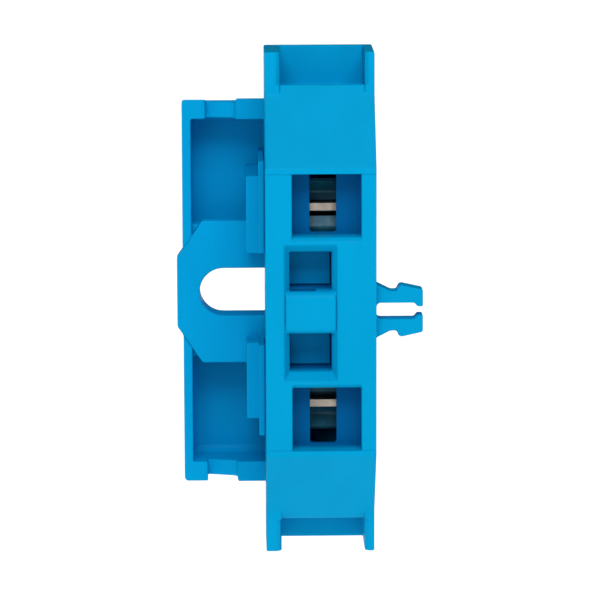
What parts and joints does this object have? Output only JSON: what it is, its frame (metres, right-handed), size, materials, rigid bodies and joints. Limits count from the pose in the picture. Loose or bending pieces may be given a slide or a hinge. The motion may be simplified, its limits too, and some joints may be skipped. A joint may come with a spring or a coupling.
{
  "type": "DIN rail terminal block",
  "caption": "Narrow blue stackable spring-clamp terminal block for a 35 mm rail, with a slotted screw flange on one side and a split coupling peg on the other.",
  "frame": {"origin": "on the plane that seats on the rail, at the rail's centre line, in the plane of the column's left face where the neighbouring block begins", "axes": "+X along the rail towards the coupling peg, +Y back into the rail, +Z along the block from the rail latch to the fixed claw"},
  "size_m": [0.0241, 0.0229, 0.0496],
  "materials": {
    "housing_plastic": "satin moulded polyamide, terminal blue",
    "base_plastic": "satin moulded polyamide, terminal blue",
    "button_plastic": "satin moulded polyamide, terminal blue",
    "tinned_copper": "tin-plated copper with bare sheared edges",
    "spring_steel": "bright stainless spring steel"
  },
  "bodies": {
    "block": {"housing": "housing_plastic", "side_cover": "housing_plastic", "mounting_base": "base_plastic", "current_bar": "tinned_copper", "clamp_spring_upper": "spring_steel", "clamp_spring_lower": "spring_steel", "latch_spring": "spring_steel"},
    "upper_button": {"release_button_upper": "button_plastic"},
    "lower_button": {"release_button_lower": "button_plastic"},
    "latch": {"rail_latch": "base_plastic"}
  },
  "joints": [
    {"name": "upper_button_press", "type": "slide", "parent": "block", "child": "upper_button", "axis": [0, 1, 0], "range_m": [0, 0.0014], "stiffness_N_per_m": 3000, "springref_m": -0.0008, "deforming": ["clamp_spring_upper"]},
    {"name": "lower_button_press", "type": "slide", "parent": "block", "child": "lower_button", "axis": [0, 1, 0], "range_m": [0, 0.0014], "stiffness_N_per_m": 3000, "springref_m": -0.0008, "deforming": ["clamp_spring_lower"]},
    {"name": "latch_slide", "type": "slide", "parent": "block", "child": "latch", "axis": [0, 0, -1], "range_m": [0, 0.0014], "stiffness_N_per_m": 2500, "springref_m": -0.001, "deforming": ["latch_spring"]}
  ]
}
